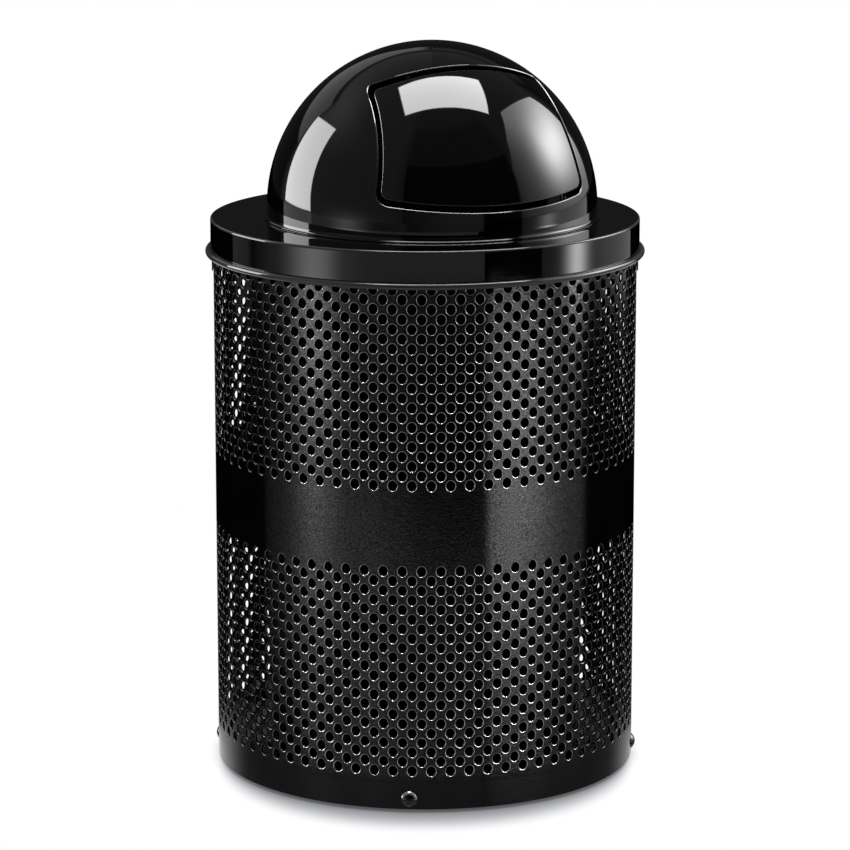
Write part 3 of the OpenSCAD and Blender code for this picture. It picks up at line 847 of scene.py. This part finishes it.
def from_disc(q):
    rho = np.hypot(q[:, 0], q[:, 1])
    k = np.where(rho > 1e-9, np.sin(rho) / np.maximum(rho, 1e-9), 1.0)
    return np.column_stack([q[:, 0] * k, q[:, 1] * k, np.cos(rho)])


def inside_polygon(pts, poly):
    x, y = pts[:, 0], pts[:, 1]
    hit = np.zeros(len(pts), bool)
    x1, y1 = poly[-1]
    for x2, y2 in poly:
        cross = (y1 > y) != (y2 > y)
        with np.errstate(divide="ignore", invalid="ignore"):
            xi = (x2 - x1) * (y - y1) / (y2 - y1) + x1
        hit ^= cross & (x < xi)
        x1, y1 = x2, y2
    return hit


def hex_grid(radius, spacing):
    rows = []
    n = int(radius / (spacing * 0.866)) + 2
    for j in range(-n, n + 1):
        i = np.arange(-n * 2, n * 2 + 1)
        rows.append(np.column_stack([i * spacing + (j % 2) * spacing / 2, np.full(len(i), j * spacing * 0.866)]))
    g = np.concatenate(rows)
    return g[np.hypot(g[:, 0], g[:, 1]) < radius]


def spacing_filter(pts, taken, gap):
    """Drops points nearer than gap to any of the taken ones."""
    keep = np.ones(len(pts), bool)
    for s in range(0, len(pts), 2000):
        d = np.linalg.norm(pts[s:s + 2000, None] - taken[None], axis=2).min(1)
        keep[s:s + 2000] = d > gap
    return pts[keep]


def spherical_piece(name, rim, loop_is_hole, base_ring, replaces, body):
    """A sheet of the dome: everything outside the rim down to the base ring, or just what is inside the rim."""
    rings, q, t = edge_rings(rim, 1 if loop_is_hole else -1)
    start = rings[0][0]
    loop = to_disc(start)
    step = 5.5 / DOME_R
    near = []
    for extra in (1.6, 4.0, 7.6):
        c = q + t * (EDGE_R + extra)
        near.append(to_disc(c))
    poly_for_test = loop
    fixed = [loop] + near
    if loop_is_hole:
        n = base_ring
        ang = np.arange(n) * TAU / n
        circle = np.column_stack([np.sin(ang), -np.cos(ang)]) * (math.pi / 2)
        inner_circle = circle * (1 - 3.2 / (DOME_R * math.pi / 2))
        free = hex_grid(math.pi / 2 - 1.6 * step, step)
        free = free[~inside_polygon(free, poly_for_test)]
        extra_pts = [inner_circle]
    else:
        free = hex_grid(math.pi / 2, step)
        free = free[inside_polygon(free, poly_for_test)]
        circle, extra_pts = np.zeros((0, 2)), []
    taken = np.concatenate(fixed + extra_pts)
    free = spacing_filter(free, taken, 0.72 * step)
    pts = np.concatenate([loop, circle] + near + extra_pts + [free])
    n_loop, n_circ = len(loop), len(circle)
    edges = [(i, (i + 1) % n_loop) for i in range(n_loop)]
    edges += [(n_loop + i, n_loop + (i + 1) % n_circ) for i in range(n_circ)]
    found = delaunay_2d_cdt([Vector(p) for p in pts], edges, [], 0, 1e-7)
    v2 = np.array([list(v) for v in found[0]])
    tri = np.array([f for f in found[2] if len(f) == 3])
    orig = found[3]
    mid = v2[tri].mean(1)
    ok = inside_polygon(mid, loop)
    if loop_is_hole:
        ok = ~ok & (np.hypot(mid[:, 0], mid[:, 1]) < math.pi / 2 * 0.99999)
    tri = tri[ok]
    # anticlockwise seen from above the disc, which is from outside the dome
    a, b, c = v2[tri[:, 0]], v2[tri[:, 1]], v2[tri[:, 2]]
    area = (b[:, 0] - a[:, 0]) * (c[:, 1] - a[:, 1]) - (c[:, 0] - a[:, 0]) * (b[:, 1] - a[:, 1])
    tri[area < 0] = tri[area < 0][:, ::-1]
    used = np.unique(tri)
    back = np.full(len(v2), -1)
    back[used] = np.arange(len(used))
    from_input = {}
    for new, olds in enumerate(orig):
        for o in olds:
            from_input[o] = new
    unit = from_disc(v2[used])
    sheet = Sheet()
    outer = sheet.points((unit * DOME_R + DOME) * 0.001, unit)
    inner = sheet.points((unit * (DOME_R - DOME_T) + DOME) * 0.001, -unit)
    tri = back[tri]
    span = math.pi * 1.04
    uv = v2[used] / span / 2 * 0.98

    def on_map(xy, side):
        return xy + [0.25 + 0.5 * side, 0.5]

    ua = on_map(uv, 0)
    sheet.tris(outer[tri[:, 0]], outer[tri[:, 1]], outer[tri[:, 2]], ua[tri[:, 0]], ua[tri[:, 1]], ua[tri[:, 2]])
    ub = on_map(uv, 1)
    sheet.tris(inner[tri[:, 2]], inner[tri[:, 1]], inner[tri[:, 0]], ub[tri[:, 2]], ub[tri[:, 1]], ub[tri[:, 0]])
    loop_ids = back[[from_input[i] for i in range(n_loop)]]
    # the edge: from the outer surface round to the inner one
    chain = [outer[loop_ids]]
    # the edge's rings carry its painted highlight
    for co, no, painted_edge_light in rings[1:-1]:
        chain.append(sheet.points((co + DOME) * 0.001, no, painted_edge_light))
    chain.append(inner[loop_ids])
    k = np.arange(n_loop)
    nx = (k + 1) % n_loop
    v0 = 0.90
    for r in range(len(chain) - 1):
        p0, p1 = chain[r], chain[r + 1]
        w0 = np.stack([k / n_loop, np.full(n_loop, v0 + 0.09 * r / len(chain))], 1)
        w1 = np.stack([(k + 1) / n_loop, np.full(n_loop, v0 + 0.09 * r / len(chain))], 1)
        w2 = np.stack([(k + 1) / n_loop, np.full(n_loop, v0 + 0.09 * (r + 1) / len(chain))], 1)
        w3 = np.stack([k / n_loop, np.full(n_loop, v0 + 0.09 * (r + 1) / len(chain))], 1)
        if loop_is_hole:
            sheet.quads(p0[k], p0[nx], p1[nx], p1[k], w0, w1, w2, w3)
        else:
            sheet.quads(p0[k], p1[k], p1[nx], p0[nx], w0, w3, w2, w1)
    if loop_is_hole:
        circ_ids = back[[from_input[n_loop + i] for i in range(n_circ)]]
        w = DOME_RISE
        # the straight wall, the flared lip and back up the inside, as a turned profile below the sphere
        prof = [(DOME_R, -w + 7.3, 1.0, 0.0)]
        for i in range(0, 11):
            a = math.radians(9 * i)
            # a quarter of an ellipse from the wall out to the lip's edge
            r = DOME_R + (LIP_R - 0.5 - DOME_R) * (1 - math.cos(a))
            z = -w + 1.6 + 5.0 * (1 - math.sin(a))
            nr, nz = 5.0 * math.cos(a), (LIP_R - 0.5 - DOME_R) * math.sin(a)
            s = math.hypot(nr, nz)
            prof.append((r, z, nr / s, nz / s))
        for a in (60, 30, 0, -30, -60, -90):
            prof.append((LIP_R - 0.7 + 0.7 * math.cos(math.radians(a)), -w + 0.9 + 0.7 * math.sin(math.radians(a)),
                         math.cos(math.radians(a)), math.sin(math.radians(a))))
        prof.append((DOME_R - DOME_T + 1.2, -w + 0.2, 0.0, -1.0))
        for a in (240, 210, 180):
            prof.append((DOME_R - DOME_T + 0.8 + 0.8 * math.cos(math.radians(a)), -w + 1.0 + 0.8 * math.sin(math.radians(a)),
                         math.cos(math.radians(a)), math.sin(math.radians(a))))
        ang = np.arange(n_circ) * TAU / n_circ
        sn, cs = np.sin(ang), -np.cos(ang)
        chain = [outer[circ_ids]]
        for r, z, nr, nz in prof:
            co = np.column_stack([r * sn, r * cs, np.full(n_circ, z)])
            no = np.column_stack([nr * sn, nr * cs, np.full(n_circ, nz)])
            chain.append(sheet.points((co + DOME) * 0.001, no))
        chain.append(inner[circ_ids])
        k = np.arange(n_circ)
        nx = (k + 1) % n_circ
        for r in range(len(chain) - 1):
            p0, p1 = chain[r], chain[r + 1]
            f0, f1 = 0.01 + 0.09 * r / len(chain), 0.01 + 0.09 * (r + 1) / len(chain)
            w0 = np.stack([k / n_circ, np.full(n_circ, f0)], 1)
            w1 = np.stack([(k + 1) / n_circ, np.full(n_circ, f0)], 1)
            w2 = np.stack([(k + 1) / n_circ, np.full(n_circ, f1)], 1)
            w3 = np.stack([k / n_circ, np.full(n_circ, f1)], 1)
            # +angle runs to the right seen from the front, and the chain runs downwards
            sheet.quads(p0[nx], p0[k], p1[k], p1[nx], w1, w0, w3, w2)
    return sheet.piece(name, GLOSS, body, replaces)


spherical_piece("dome", outline(0, 0, 0, 3.0), True, 576, ("dome_shell",), "lid")
spherical_piece("push_door", outline(4.6, 5.0, 8.0, 3.0), False, 0, ("door_panel",), "door")

# ------------------------------------------------------------------ lid ring
LID_R, LID_Z, LID_T, BEAD_Z, BEAD_R = 288.6, 749.0, 1.4, 703.5, 4.2
LID_IN = LID_R - LID_T
BEAD_C = LID_IN + BEAD_R


def build_lid_ring():
    """The skirt with its rolled bead turns round the body's axis; the flat top runs in to the dome's neck, which is set off to one side."""
    sheet = Sheet()
    steps = 720
    cut = math.degrees(math.acos((LID_R - BEAD_C) / BEAD_R))  # where the skirt meets the bead
    zc = BEAD_Z + BEAD_R * math.sin(math.radians(cut))
    p = Profile()
    # from the underside's outer corner down the inside, round the bead, up the outside and over to the top
    p.arc(LID_R - 2.6, LID_Z - 2.6, 1.2, 90, 0, 6, start=True)
    p.line(LID_IN, LID_Z - 6, LID_IN, BEAD_Z, 4)
    p.p = [(r, z, -abs(nr) if abs(nz) < 1e-6 else nr, nz) for r, z, nr, nz in p.p]
    p.arc(BEAD_C, BEAD_Z, BEAD_R, 180, 360 + cut - 10, 40)
    p.line(LID_R, zc + 0.5, LID_R, LID_Z - 2.6 - 0.6, 6)
    p.arc(LID_R - 2.4, LID_Z - 2.4, 2.4, 0, 90, 10)
    ring_top = p.p[-1]
    # painted highlight: bright metal along the skirt's rounded top edge and the bead's outside
    painted_light = [0.3 if LID_Z - 2.3 < z < LID_Z - 0.02 and r > LID_R - 2.3 or r > LID_R + 0.3 else 0.0 for r, z, _, _ in p.p]
    idx = revolve(sheet, p, steps, painted_light=painted_light)
    # the flat top, from the skirt's rounding in to the circle round the dome's neck
    ang = np.arange(steps) * TAU / steps
    sn, cs = np.sin(ang), -np.cos(ang)
    neck = 220.3
    up = np.tile([0.0, 0.0, 1.0], (steps, 1))
    centre = np.array([DOME[0], DOME[1]])

    def blend_ring(k, z, outer_r, inner_r):
        o = np.column_stack([outer_r * sn, outer_r * cs])
        i = np.column_stack([inner_r * sn, inner_r * cs]) + centre
        xy = o * (1 - k) + i * k
        return np.column_stack([xy, np.full(steps, z)])

    k = np.arange(steps)
    nx = (k + 1) % steps

    def join(a, b, v0, v1, flip):
        w0 = np.stack([k / steps, np.full(steps, v0)], 1)
        w1 = np.stack([(k + 1) / steps, np.full(steps, v0)], 1)
        w2 = np.stack([(k + 1) / steps, np.full(steps, v1)], 1)
        w3 = np.stack([k / steps, np.full(steps, v1)], 1)
        if flip:
            sheet.quads(a[nx], a[k], b[k], b[nx], w1, w0, w3, w2)
        else:
            sheet.quads(a[k], a[nx], b[nx], b[k], w0, w1, w2, w3)

    last = idx[-1]
    for i in range(1, 7):
        cur = sheet.points(blend_ring(i / 6, LID_Z, LID_R - 2.4, neck + 2.2) * 0.001, up)
        join(last, cur, 0.80 + 0.015 * (i - 1), 0.80 + 0.015 * i, False)
        last = cur
    # up the neck, over its edge and down inside
    prof = [(neck + 1.0, LID_Z + 0.35, 0.5, 0.866), (neck + 0.2, LID_Z + 1.1, 0.92, 0.38), (neck, LID_Z + 2.0, 1.0, 0.0), (neck, LID_Z + 10.8, 1.0, 0.0),
            (neck - 0.25, LID_Z + 11.35, 0.7, 0.7), (neck - 0.7, LID_Z + 11.6, 0.0, 1.0), (neck - 1.15, LID_Z + 11.35, -0.7, 0.7),
            (neck - LID_T, LID_Z + 10.8, -1.0, 0.0), (neck - LID_T, LID_Z - 1.0, -1.0, 0.0), (neck - LID_T + 0.3, LID_Z - LID_T, -0.5, -0.866)]
    for i, (r, z, nr, nz) in enumerate(prof):
        co = np.column_stack([r * sn + centre[0], r * cs + centre[1], np.full(steps, z)])
        no = np.column_stack([nr * sn, nr * cs, np.full(steps, nz)])
        cur = sheet.points(co * 0.001, no)
        join(last, cur, 0.895 + 0.005 * i, 0.90 + 0.005 * i, False)
        last = cur
    # the underside, back out to the skirt
    down = -up
    for i in range(1, 4):
        if i == 3:
            cur = idx[0]
        else:
            cur = sheet.points(blend_ring(1 - i / 3, LID_Z - LID_T, LID_R - 2.6, neck - LID_T + 0.3) * 0.001, down)
        join(last, cur, 0.95 + 0.01 * (i - 1), 0.95 + 0.01 * i, False)
        last = cur
    return sheet.piece("lid_ring_rolled", GLOSS, "lid", ("lid_ring",))


build_lid_ring()


# ------------------------------------------------------------------ base bolts
def build_bolts():
    """Round-headed bolts, each with a small flat under the paint at its middle and a softened rim."""
    sheet = Sheet()
    head_r, head_h, ball = 10.6, 5.2, (10.6**2 + 5.2**2) / (2 * 5.2)
    for i in range(4):
        a = math.radians(-27 + 90 * i)
        ax = np.array([math.sin(a), -math.cos(a), 0.0])  # outwards
        side = np.array([math.cos(a), math.sin(a), 0.0])
        origin = ax * BODY_R + np.array([0, 0, 19.0])

        def place(co, no):
            m = np.stack([side, np.array([0.0, 0.0, 1.0]), ax], 0)
            # turned profile: z runs outwards
            return co @ m + origin, no @ m

        p = Profile()
        for k in range(0, 13):
            t = math.asin(head_r / ball) * k / 12 * 0.985
            p.p.append((ball * math.sin(t), ball * math.cos(t) - (ball - head_h), math.sin(t), math.cos(t)))
        p.p = p.p[::-1]
        rim = [(head_r - 0.1, 0.0, 0.0, -1.0), (head_r, 0.15, 1.0, 0.0)]
        p.p = [(5.0, -19.6, 0.0, -1.0), (5.0, -19.0, 1.0, 0.0), (5.0, -1.9, 1.0, 0.0), (5.2, 0.0, 0.0, -1.0)] + rim + p.p
        p.p = [(0.0, -20.0, 0.0, -1.0), (4.6, -20.0, 0.0, -1.0)] + p.p
        # painted light on the heads: a painted highlight of bright metal on the upper half, painted shade of black
        # metal on the lower half
        bolt_painted_light = np.clip(0.15 - np.cos(np.arange(40) * TAU / 40), -1.0, 0.6)[None, :] * 0.8
        outer = np.clip(np.array([[q[0]] for q in p.p]) / head_r * 4.0 - 2.6, 0.0, 1.0)
        bolt_painted_light = np.where(bolt_painted_light > 0.0, bolt_painted_light * outer, bolt_painted_light)  # painted highlight along the upper half of the head's edge, outside its middle; painted shade over the lower half
        revolve(sheet, p, 40, place, uv=(0.01 + 0.245 * i, 0.02, 0.01 + 0.245 * i + 0.22, 0.98), painted_light=bolt_painted_light)
    return sheet.piece("bolt_heads", POWDER, "body", ("base_bolts",))


build_bolts()


# ------------------------------------------------------------------ door springs
def tube(sheet, path, radius, sides=12, uv_row=(0.0, 1.0)):
    """A round wire along a list of points in mm, with rounded ends."""
    path = np.array(path, float)
    d = np.gradient(path, axis=0)
    d /= np.linalg.norm(d, axis=1)[:, None]
    ref = np.array([1.0, 0.0, 0.0]) if abs(d[0, 0]) < 0.9 else np.array([0.0, 1.0, 0.0])
    u = np.cross(d[0], ref)
    u /= np.linalg.norm(u)
    us = []
    for i in range(len(path)):
        u = u - (u @ d[i]) * d[i]
        u /= np.linalg.norm(u)
        us.append(u)
    us = np.array(us)
    ws = np.cross(d, us)
    ang = np.arange(sides) * TAU / sides
    rows = []
    ends = [(-0.9, 0.25), (-0.6, 0.75)]
    stations = [(path[0], d[0], us[0], ws[0], o * radius, f) for o, f in ends]
    stations += [(path[i], d[i], us[i], ws[i], 0.0, 1.0) for i in range(len(path))]
    stations += [(path[-1], d[-1], us[-1], ws[-1], -o * radius, f) for o, f in reversed(ends)]
    for c, dd, uu, ww, off, f in stations:
        radial = np.cos(ang)[:, None] * uu + np.sin(ang)[:, None] * ww
        no = radial * f + dd * math.copysign(math.sqrt(max(0, 1 - f * f)), off if off else 1.0) * (0 if f == 1.0 else 1)
        rows.append(sheet.points((c + dd * off + radial * radius * f) * 0.001, no))
    n = len(rows)
    k = np.arange(sides)
    nx = (k + 1) % sides
    for i in range(n - 1):
        a, b = rows[i], rows[i + 1]
        v0, v1 = i / n, (i + 1) / n
        lo, hi = uv_row
        w0 = np.stack([lo + (hi - lo) * k / sides, np.full(sides, v0)], 1)
        w1 = np.stack([lo + (hi - lo) * (k + 1) / sides, np.full(sides, v0)], 1)
        w2 = np.stack([lo + (hi - lo) * (k + 1) / sides, np.full(sides, v1)], 1)
        w3 = np.stack([lo + (hi - lo) * k / sides, np.full(sides, v1)], 1)
        sheet.quads(a[k], a[nx], b[nx], b[k], w0, w1, w2, w3)
    for row, flip, off, c, dd in ((rows[0], True, -radius, path[0], d[0]), (rows[-1], False, radius, path[-1], d[-1])):
        tip = sheet.points([(c + dd * off) * 0.001], [dd * (1 if off > 0 else -1)])
        t = np.full(sides, tip[0])
        z = np.full((sides, 2), 0.5)
        if flip:
            sheet.tris(row[nx], row[k], t, z, z, z)
        else:
            sheet.tris(row[k], row[nx], t, z, z, z)


HINGE_Y, HINGE_Z = -71.0, 184.9


def build_spring(name, s, node):
    """A close-wound torsion spring on the rod, one leg along the door's arm and one against the bracket."""
    coil, wire, x0, turns, pitch = 4.9, 0.72, 38.8, 7, 1.5
    path = []
    # leg along the arm
    a = math.radians(94.5)
    y0, z0 = HINGE_Y, HINGE_Z - coil
    for k in np.linspace(1, 0, 14):
        path.append((x0, y0 - 50.0 * math.sin(a) * k, z0 + 50.0 * math.cos(a) * k))
    # turns, starting below the rod and running inwards
    n = 26 * turns
    for i in range(1, n + 1):
        t = math.pi * 1.5 + TAU * i / 26
        x = x0 - pitch * turns * i / n
        path.append((x, HINGE_Y + coil * math.cos(t), HINGE_Z + coil * math.sin(t)))
    xe = x0 - pitch * turns
    for k in np.linspace(0, 1, 8)[1:]:
        path.append((xe, HINGE_Y + 11.0 * k, HINGE_Z - coil))
    path = np.array(path)
    path[:, 0] *= s
    path += DOME
    sheet = Sheet()
    tube(sheet, path, wire)
    return sheet.piece(name, ZINC, "door", (node,))


build_spring("torsion_spring_left", -1, "spring_left")
build_spring("torsion_spring_right", 1, "spring_right")

# ------------------------------------------------------------------ finishes of the CAD parts that stay
FINISH = {
    "top_rim_ring": POWDER, "base_pan": POWDER, "base_bolt_washers": ZINC, "base_bolt_nuts": ZINC,
    "glide_feet": RUBBER, "glide_screws": ZINC, "glide_nuts": ZINC, "liner": LINER, "lid_tabs": GLOSS,
    "hinge_bracket_left": GLOSS, "hinge_bracket_right": GLOSS, "hinge_rod": ZINC, "rod_caps": ZINC, "rest_bumpers": RUBBER,
    "door_arm_left": GLOSS, "door_arm_right": GLOSS, "door_stop_left": LINER, "door_stop_right": LINER,
    "body_shell": POWDER, "base_bolts": POWDER, "lid_ring": GLOSS, "dome_shell": GLOSS, "door_panel": GLOSS,
    "spring_left": ZINC, "spring_right": ZINC,
}
for node_name, material in FINISH.items():
    ob = NODES[node_name]
    if not ob.data.materials:
        ob.data.materials.append(material)
    for slot_ in ob.material_slots:
        slot_.material = material


# ------------------------------------------------------------------ floor
def build_floor():
    """Plain white floor with a painted soft shadow, drawn as a blurred ellipse set off towards the camera as if from a
    light high behind the object, and a tighter painted shade from ambient occlusion right beside what stands on it.
    """
    me = bpy.data.meshes.new("floor")
    s = 12.0
    me.from_pydata([(-s, -s, 0), (s, -s, 0), (s, s, 0), (-s, s, 0)], [], [(0, 1, 2, 3)])
    me.update()
    m = bpy.data.materials.new("floor_white_painted_shadow")
    m.use_nodes = True
    t = m.node_tree
    t.nodes.clear()
    c = t.nodes.new("ShaderNodeTexCoord")
    # painted shadow: the floor's glow dims within a blurred ellipse round the body's foot, set off towards the camera
    across = vec_dot(t, c.outputs["Object"], RIGHT) / 0.274
    ahead = (vec_dot(t, c.outputs["Object"], BACK) - 0.045) / 0.2855
    reach = (across * across + ahead * ahead) ** 0.5
    slope = (across * across + ahead * ahead * 10.75) ** 0.5
    past = (reach - 1.0) * reach / slope.max(1e-3) * 0.2855
    ao = t.nodes.new("ShaderNodeAmbientOcclusion")
    ao.samples = 8
    ao.inputs["Distance"].default_value = 0.03
    level = (past.step(-0.0135, 0.0135) * 0.64 + 0.36) * Ex(t, ao.outputs["AO"]).ramp(0.0, 0.70, 0.20, 1.0)
    em = t.nodes.new("ShaderNodeEmission")
    # the painted shadow is tinted slightly blue
    t.links.new(ramp_color(t, level.value, [(0.35, (0.93, 0.94, 1.0)), (0.95, (1.0, 1.0, 1.0))]), em.inputs["Color"])
    t.links.new(level.value, em.inputs["Strength"])
    out = t.nodes.new("ShaderNodeOutputMaterial")
    t.links.new(em.outputs[0], out.inputs["Surface"])
    me.materials.append(m)
    ob = bpy.data.objects.new("floor", me)
    scene.collection.objects.link(ob)
    ob.visible_glossy = False
    ob.visible_diffuse = False
    ob.visible_shadow = False
    return ob


build_floor()
